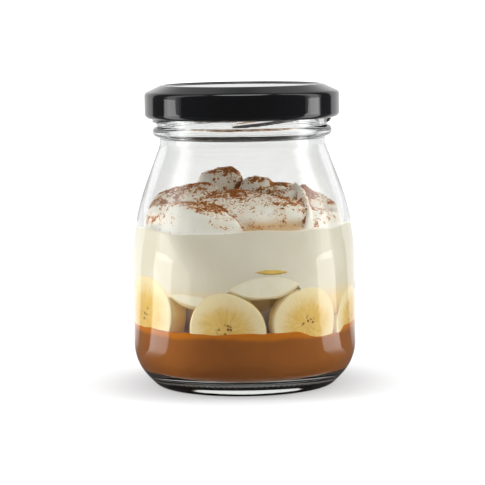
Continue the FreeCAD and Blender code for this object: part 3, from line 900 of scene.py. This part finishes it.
def slices_top(angle):
    """Height of the highest slice behind the glass at each angle."""
    level = np.full(angle.shape, LOWEST_TOP)
    for _, at, middle, radius, _, setback, _ in UPRIGHT:
        if setback:
            continue
        across = np.radians(turned_from(angle, at)) * CAVITY_RADIUS
        inside = np.clip(radius ** 2 - across ** 2, 0, None)
        level = np.maximum(level, np.where(inside > 0, middle + np.sqrt(inside), 0))
    for _, at, distance, height, radius, thickness, _, roll in LYING:
        if distance + radius < CAVITY_RADIUS + 1:
            continue
        across = np.radians(turned_from(angle, at)) * CAVITY_RADIUS
        width = 0.8 * radius
        top = height + thickness * 0.42 - across * math.tan(math.radians(roll))
        top = top - ROUNDED_OFF * (across / width) ** 2
        level = np.maximum(level, np.where(np.abs(across) < width * 1.15, top, 0))
    return level


def cream_material():
    """Whipped cream: cocoa sieved over its top, a darker tone where it lies against the glass, a
    warm stain low down beside the fruit that turns dark brown further down as painted shade in
    the recesses between the slices, and painted warm shade under the front right lobe.
    """
    s = Shader("whipped_cream")
    dusted = s.attribute("cocoa")
    glazed = s.attribute("against_glass")
    height = s.split(s.place())[2]
    broad = s.step(s.noise(60.0), 0.3, 0.7)
    white = s.mix(broad, (0.93, 0.89, 0.80), (0.95, 0.925, 0.86))
    # A darker tone where the cream lies against the glass.
    against_glass_tone = s.mix(broad, (0.71, 0.67, 0.545), (0.75, 0.715, 0.60))
    white = s.mix(glazed, white, against_glass_tone)
    # A warm stain low down beside the fruit, turning dark brown further down as painted shade in
    # the recesses between the slices.
    juice_and_recess_shade = s.mix(s.fall(height, 25 * MM, 35 * MM), (0.82, 0.62, 0.30), (0.42, 0.18, 0.040))
    white = s.mix(s.times(s.fall(height, 34 * MM, 41 * MM), 0.85), white, juice_and_recess_shade)
    fine = s.noise(1250.0, 2.0, 0.65)
    clump = s.noise(430.0, 2.0, 0.6)
    speckle = s.plus(s.times(fine, 0.55), s.times(clump, 0.45))
    # Cocoa covers what rises over a bar, which is lower where more of it fell.
    over = s.minus(speckle, s.minus(0.620, s.times(dusted, 0.235)))
    cover = s.step(over, 0.0, 0.035)
    tone = s.mix(s.step(over, 0.02, 0.11), (0.56, 0.185, 0.020), (0.28, 0.075, 0.006))
    tint = s.mix(s.times(dusted, 0.50), white, (0.90, 0.60, 0.28))
    # Painted warm shade on the underside of the front right lobe.
    tint = s.mix(s.attribute("golden"), tint, (0.62, 0.36, 0.11))
    colour = s.mix(s.times(cover, 0.97), tint, tone)
    colour = s.mix(glazed, colour, white)
    colour = s.mix(s.times(s.attribute("edge_line"), 0.55), colour, (0.62, 0.47, 0.24))
    relief = s.plus(s.times(fine, 0.5), s.times(clump, 0.5))
    return s.finish(s.principled(Base_Color=colour, Roughness=0.7, Specular_IOR_Level=0.05,
                                 Normal=s.bump(relief, 0.3, 0.0005)))


CREAM_COLUMNS = 448
CREAM_TOP_RINGS = 112
CREAM_SIDE_RINGS = 36
CORE_RADIUS = 30.4
CORE_DROP = 2.0


def cream_rings():
    """Rings over the top from the middle to the glass, down the glass, and in under the cream;
    and for each point whether it lies below the top.
    """
    angle = np.linspace(0, TAU, CREAM_COLUMNS, endpoint=False)
    edge = edge_level(angle)
    edge_radius = wall_at(edge) + CREAM_REACH
    rings = []
    for share in np.linspace(0.012, 1.0, CREAM_TOP_RINGS) ** 0.9:
        r = edge_radius * share
        z = cream_top(r * np.sin(angle), -r * np.cos(angle))
        near = smooth(0.95, 1.0, share)
        z = z * (1 - near) + np.minimum(z, edge) * near if share < 1 else edge
        rings.append(around_axis(r, angle, z))
    floor = slices_top(angle) - 1.6
    for share in np.linspace(0, 1, CREAM_SIDE_RINGS + 1)[1:]:
        z = edge + (floor - edge) * share
        rings.append(around_axis(wall_at(z) + CREAM_REACH, angle, z))
    for r, drop in ((35.5, 0.3), (32.5, 0.8), (CORE_RADIUS, CORE_DROP)):
        rings.append(around_axis(r, angle, floor - drop))
    core_top = floor - CORE_DROP
    for share in (0.35, 0.7, 1.0):
        z = core_top + (CARAMEL_LEVEL - 1.5 - core_top) * share
        rings.append(around_axis(CORE_RADIUS, angle, z))
    glazed = np.zeros((len(rings), CREAM_COLUMNS))
    glazed[CREAM_TOP_RINGS:] = 1
    return np.asarray(rings), glazed


# Where more or less cocoa fell: name, x, y, spread, and how much more.
DUSTING = [
    ("back peak", -7, 7, 6, 0.34), ("peak's right flank", -2, 9, 3, 0.45),
    ("back right", 7, 4, 5, 0.30), ("back right end", 13, 6, 4, 0.55),
    ("left lobe", -25, -3, 6, 0.22), ("left lobe's end", -13, -4, 4, 0.55),
    ("front lobe", -21, -20, 5, 0.42), ("front lobe's middle", -12, -25, 4, 0.40),
    ("front lobe's foot", -20, -31, 7, -0.45), ("middle", -3, -13, 7, 0.35),
    ("folds", 9, -5, 5, 0.45), ("right lobe's face", 7, -24, 8, -0.22),
    ("beside the ridge", 17, -17, 4, 0.28), ("behind the ridge", 23, -2, 4, 0.50),
    ("right foot", 26, -17, 3, 0.45), ("far right", 33, -4, 4, 0.25),
    ("left edge", -33, -8, 3, 0.30), ("front lobe's upper face", -15, -29, 4, 0.30),
    ("dip between the lobes", 3, -33, 3.5, 0.75), ("right lobe", 13, -27, 4, 0.25),
]


def cocoa_cover(rings):
    """How thickly cocoa lies: most on the heights, in the hollows and on what faces up."""
    x, y, z = rings[..., 0], rings[..., 1], rings[..., 2]
    wide = 1.8
    around = (cream_top(x + wide, y) + cream_top(x - wide, y)
              + cream_top(x, y + wide) + cream_top(x, y - wide)) / 4
    hollow = np.clip((around - z) / 1.2, -0.5, 1)
    step = 0.4
    slope_x = (cream_top(x + step, y) - cream_top(x - step, y)) / (2 * step)
    slope_y = (cream_top(x, y + step) - cream_top(x, y - step)) / (2 * step)
    level = 1 / np.sqrt(1 + slope_x ** 2 + slope_y ** 2)
    patch = grain(x, y, z, 5.5, 3.0) + 0.6 * grain(x, y, z, 2.2, 8.0)
    cover = 0.46 * smooth(61.5, 69.0, z) + 0.45 * hollow + 0.30 * (level - 0.75) + 0.36 * patch
    for _, at_x, at_y, width, more in DUSTING:
        cover += more * np.exp(-((x - at_x) ** 2 + (y - at_y) ** 2) / width ** 2)
    reach = np.hypot(x, y) / CAVITY_RADIUS
    cover -= 0.8 * smooth(0.93, 0.99, reach)
    # A dark seam lies just behind the crest of the front lobe: partly cocoa seen edge-on, partly
    # painted shade in the gap behind the crest.
    behind = -crest_distance(x, y, LOBES[0][1])
    seam = smooth(-0.5, 0.1, behind) * (1 - smooth(0.9, 1.6, behind)) * (x < 1)
    return np.clip(np.maximum(cover, 0.95 * seam), 0, 1)


def crest_distance(x, y, crest):
    """Distance from a crest, positive on the side towards the front of the jar."""
    nearest = np.full(x.shape, 1e9)
    signed = np.zeros(x.shape)
    for _, distance, side in crest_stretches(x, y, crest):
        signed = np.where(distance < nearest, np.where(side > 0, distance, -distance), signed)
        nearest = np.minimum(nearest, distance)
    return signed


def build_cream():
    rings, glazed = cream_rings()
    top = rings[:CREAM_TOP_RINGS]
    cocoa = np.zeros(rings.shape[:2])
    cocoa[:CREAM_TOP_RINGS] = cocoa_cover(top)
    x, y, z = top[..., 0], top[..., 1], top[..., 2]
    share = np.hypot(x, y) / CAVITY_RADIUS
    calm = 1 - smooth(0.88, 0.97, share)
    top[..., 2] += calm * (0.35 * grain(x, y, z, 3.2, 1.0) + 0.14 * grain(x, y, z, 1.1, 5.0))
    points, faces = closed_rings(rings)
    faces = [face[::-1] for face in faces]
    below = edge_level(np.linspace(0, TAU, CREAM_COLUMNS, endpoint=False)) - rings[..., 2]
    line = glazed * (1 - smooth(0.0, 0.7, below))
    # Painted warm shade low on the front right lobe, where its underside curves in towards the
    # glass.
    x, z = rings[..., 0], rings[..., 2]
    golden = (1 - glazed) * 0.75 * smooth(-3, 3, x) * (1 - smooth(18, 24, x))
    golden = golden * (1 - smooth(61.5, 65.5, z)) * (rings[..., 1] < -20)
    layers = {"cocoa": np.concatenate([cocoa.ravel(), [cocoa[0].mean(), 0]]),
              "golden": np.concatenate([golden.ravel(), [0, 0]]),
              "against_glass": np.concatenate([glazed.ravel(), [0, 1]]),
              "edge_line": np.concatenate([line.ravel(), [0, 0]])}
    piece = make_piece("cream_layer", points, faces, cream_material(), layers)
    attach(piece, "root")
    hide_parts("cream")
    return points[:rings.shape[0] * rings.shape[1]].reshape(rings.shape), cocoa


# ---- cocoa grains ----
GRAINS = 5200
GRAIN_SMALLEST = 0.09
GRAIN_SPREAD = 0.17
GRAIN_SCATTER = 0.25


def cocoa_material():
    s = Shader("cocoa_powder")
    tone = s.mix(s.step(s.noise(2400.0), 0.3, 0.7), (0.32, 0.086, 0.007), (0.58, 0.190, 0.022))
    return s.finish(s.principled(Base_Color=tone, Roughness=0.95, Specular_IOR_Level=0.0))


def build_grains(rings, cocoa):
    """Loose crumbs of cocoa, each a small lump, lying where the dusting is thick."""
    random = np.random.default_rng(7)
    top = rings[:CREAM_TOP_RINGS - 6]
    radius = np.hypot(top[..., 0], top[..., 1])
    weight = (cocoa[:CREAM_TOP_RINGS - 6] ** 1.5 + 0.03) * radius
    chosen = random.choice(weight.size, GRAINS, p=(weight / weight.sum()).ravel())
    golden = (1 + 5 ** 0.5) / 2
    signs = [(a, b) for b in (1, -1) for a in (1, -1)]
    corners = [np.roll((0, a, b * golden), -axis) for axis in range(3) for a, b in signs]
    corners = np.array(corners) / math.hypot(1, golden)
    near = np.linalg.norm(corners[:, None] - corners[None], axis=-1) < 1.1
    sides = [(a, b, c) for a in range(12) for b in range(a + 1, 12) for c in range(b + 1, 12)
             if near[a, b] and near[b, c] and near[a, c]]
    sides = [side if np.dot(np.cross(corners[side[1]] - corners[side[0]],
                                     corners[side[2]] - corners[side[0]]),
                            corners[side[0]]) > 0 else side[::-1] for side in sides]
    points = []
    faces = []
    for index in chosen:
        scatter = random.uniform(-GRAIN_SCATTER, GRAIN_SCATTER, 2)
        place = top.reshape(-1, 3)[index] + (*scatter, 0)
        size = GRAIN_SMALLEST + GRAIN_SPREAD * random.random() ** 2
        lump = corners * size * random.uniform(0.65, 1.25, (12, 1)) * (1, 1, 0.7)
        faces += [[len(points) + corner for corner in side] for side in sides]
        points += (lump + place + (0, 0, size * 0.25)).tolist()
    piece = make_piece("cocoa_grains", points, faces, cocoa_material())
    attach(piece, "root")


# ---- stage, lights and camera ----
FLOOR_FRONT = -260.0
FLOOR_REACH = 4000.0
# Glow of the floor in gloss, a painted reflection of the lamps beside the jar.
MIRRORED_LAMPS = 2.6
OVERHEAD_STRIP = 4.5
WARM = (1.0, 0.90, 0.60)
WHITE = (1.0, 1.0, 1.0)

# Lamps beside the jar: side, name, angle from the front, level.
SIDE_LAMPS = [(-1, "left", 87.5, 0.8), (1, "right", 91.5, 1.05)]
# Each is a core in two fainter frames: name, angle added, distance, width, height, share.
FRAMES = [("core", 1.0, 700, 210, 1300, 0.9), ("middle", 0.0, 705, 310, 1330, 0.6),
          ("rim", 0.0, 710, 420, 1360, 0.5)]
FRAME_MIDDLE = 500
# The key lamps and the front lamp: angle, distance, middle, width, height, radiance.
KEY_LAMP = (84, 720, 420, 400, 1000, 7.2)
FRONT_LAMP = (0, 620, 1150, 1000, 700, 3.3)

# The viewpoint: a long lens about 0.85 m away, a little above the jar.
PHOTO_PIXELS = 485
LENS_PIXELS = 2281.0
SENSOR = 36.0
CAMERA_PLACE = (-0.45, -850, 142)
CAMERA_TILT = 5.976
CAMERA_ROLL = -0.77


def build_stage():
    """A pale table that keeps the jar's shadow; it ends in front of the jar, as tables do.

    Camera, mirrored and transmitted rays each see their own share of its colour and glow.
    """
    s = Shader("pale_floor")
    x, y, _ = s.split(s.place())
    away = s.math("SQRT", s.plus(s.times(x, x), s.times(y, y)))
    rays = s.rays()
    seen = rays["Is Camera Ray"]
    passed = rays["Is Transmission Ray"]
    # Rays bent by glass count as glossy too, so those that passed are taken out of gloss.
    gloss = s.times(rays["Is Glossy Ray"], s.minus(1.0, passed))
    tone = s.mix(s.noise(8.0), (0.50, 0.50, 0.51), (0.52, 0.52, 0.53))
    far = s.times(s.step(y, 350 * MM, 900 * MM), passed)
    dim = s.plus(s.times(far, 0.15), s.times(gloss, 0.85), s.times(seen, 0.54))
    base = s.principled(Base_Color=s.mix(dim, tone, (0.0, 0.0, 0.0)), Roughness=0.8,
                        Specular_IOR_Level=0.1)
    # The camera sees it white, with less glow near the jar: a painted contact shadow round its
    # foot.
    near = s.step(away, 36 * MM, 62 * MM, 0.40, 0.64)
    lift = s.times(s.plus(near, s.step(away, 100 * MM, 1300 * MM, 0.0, 0.60)), seen)
    # Through glass it is bright far behind the jar only.
    lift = s.plus(lift, s.times(s.step(y, 250 * MM, 900 * MM, 0.0, 0.50), passed))
    # In gloss it glows where it would mirror the two lamps beside the jar and the white wall
    # behind it: painted reflections.
    slant = s.math("DIVIDE", y, s.math("MAXIMUM", s.math("ABSOLUTE", x), 1e-4))
    painted_lamp_reflection = s.times(s.step(s.math("ABSOLUTE", slant), 0.20, 0.26, MIRRORED_LAMPS, 0.0),
                    s.step(away, 60 * MM, 160 * MM))
    wall = s.times(s.step(slant, 0.74, 0.88), s.step(y, 40 * MM, 160 * MM), 0.95)
    strength = s.plus(lift, s.times(s.plus(painted_lamp_reflection, wall), gloss))
    glow = s.node("ShaderNodeEmission", Strength=strength)
    both = s.node("ShaderNodeAddShader", i0=base, i1=glow.outputs[0])
    left, right, back = -FLOOR_REACH, FLOOR_REACH, FLOOR_REACH
    points = [(left, FLOOR_FRONT, 0), (right, FLOOR_FRONT, 0), (right, back, 0), (left, back, 0)]
    make_piece("floor", points, [(0, 1, 2, 3)], s.finish(both.outputs[0]))


def build_world():
    """White where the camera sees past the jar. Light, gloss and what passes through glass each
    see a room of their own.
    """
    s = Shader("studio", world=True)

    def background(strength, colour=WHITE):
        return s.node("ShaderNodeBackground", Color=colour, Strength=strength).outputs[0]

    x, y, z = s.split(s.place("Generated"))
    aside = s.math("ABSOLUTE", x)
    # Gloss: a wall behind, dimmer above, and a strip of light straight overhead.
    wall = s.times(s.step(y, 0.57, 0.65), s.step(z, 0.25, 0.62, 0.95, 0.40))
    strip = s.step(z, 0.94, 0.975, 0.0, OVERHEAD_STRIP)
    room = background(s.plus(wall, strip, 0.09))
    # Diffuse light: dim and warm from the front, bright from behind and from both sides.
    tint = s.mix(s.step(y, -0.9, 0.0), WARM, WHITE)
    sides = s.step(aside, 0.60, 0.95, 0.0, 0.8)
    plain = background(s.plus(s.step(y, -0.7, 0.6, 0.14, 0.85), sides), tint)
    # Through glass: a white wall behind, a darker zone on either side, lit sides, a dim front.
    lit = s.plus(s.step(y, 0.40, 0.85, 0.45, 1.0), s.step(aside, 0.85, 0.96, 0.0, 0.9))
    through = background(s.times(lit, s.step(y, -0.55, 0.0, 0.30, 1.0)), tint)
    rays = s.rays()
    unseen = s.blend(rays["Is Glossy Ray"], plain, room)
    unseen = s.blend(rays["Is Transmission Ray"], unseen, through)
    shader = s.blend(rays["Is Camera Ray"], unseen, background(1.0))
    bpy.context.scene.world = s.finish(shader)


def soft_box(name, angle, distance, middle, width, height, level, in_gloss=True):
    """An upright rectangular lamp that faces the jar, of a given radiance."""
    lamp = bpy.data.lights.new(name, "AREA")
    lamp.shape = "RECTANGLE"
    lamp.size = width * MM
    lamp.size_y = height * MM
    lamp.energy = level * math.pi * width * height * MM * MM
    place = bpy.data.objects.new(name, lamp)
    turn = math.radians(angle)
    spot = Vector((math.sin(turn) * distance, -math.cos(turn) * distance, middle)) * MM
    place.location = spot
    aim = Vector((0, 0, middle * 0.4 * MM)) - spot
    place.rotation_euler = aim.to_track_quat("-Z", "Y").to_euler()
    place.visible_camera = False
    if not in_gloss:
        place.visible_glossy = False
        place.visible_transmission = False
    bpy.context.scene.collection.objects.link(place)


def build_camera():
    camera = bpy.data.cameras.new("camera")
    camera.sensor_width = SENSOR
    camera.lens = LENS_PIXELS / PHOTO_PIXELS * SENSOR
    camera.clip_start = 0.05
    camera.clip_end = 50.0
    place = bpy.data.objects.new("camera", camera)
    place.rotation_mode = "XYZ"
    place.location = Vector(CAMERA_PLACE) * MM
    tilt = Euler((math.radians(90 - CAMERA_TILT), 0, 0)).to_matrix()
    roll = Euler((0, 0, math.radians(CAMERA_ROLL))).to_matrix()
    place.rotation_euler = (tilt @ roll).to_euler()
    bpy.context.scene.collection.objects.link(place)
    bpy.context.scene.camera = place


build_camera()
build_glass()
build_lid()
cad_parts["lid_gasket"].data.materials.clear()
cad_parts["lid_gasket"].data.materials.append(gasket_material())
build_caramel()
build_bananas()
cream_points, cream_cocoa = build_cream()
build_grains(cream_points, cream_cocoa)
build_stage()
build_world()
for side, name, turn, level in SIDE_LAMPS:
    for part, more, distance, width, height, share in FRAMES:
        soft_box("lamp_%s_%s" % (name, part), side * (turn + more), distance, FRAME_MIDDLE,
                 width, height, share * level)
    soft_box("lamp_%s_key" % name, side * KEY_LAMP[0], *KEY_LAMP[1:], in_gloss=False)
soft_box("lamp_front", *FRONT_LAMP, in_gloss=False)

bpy.context.scene.view_settings.view_transform = "Standard"
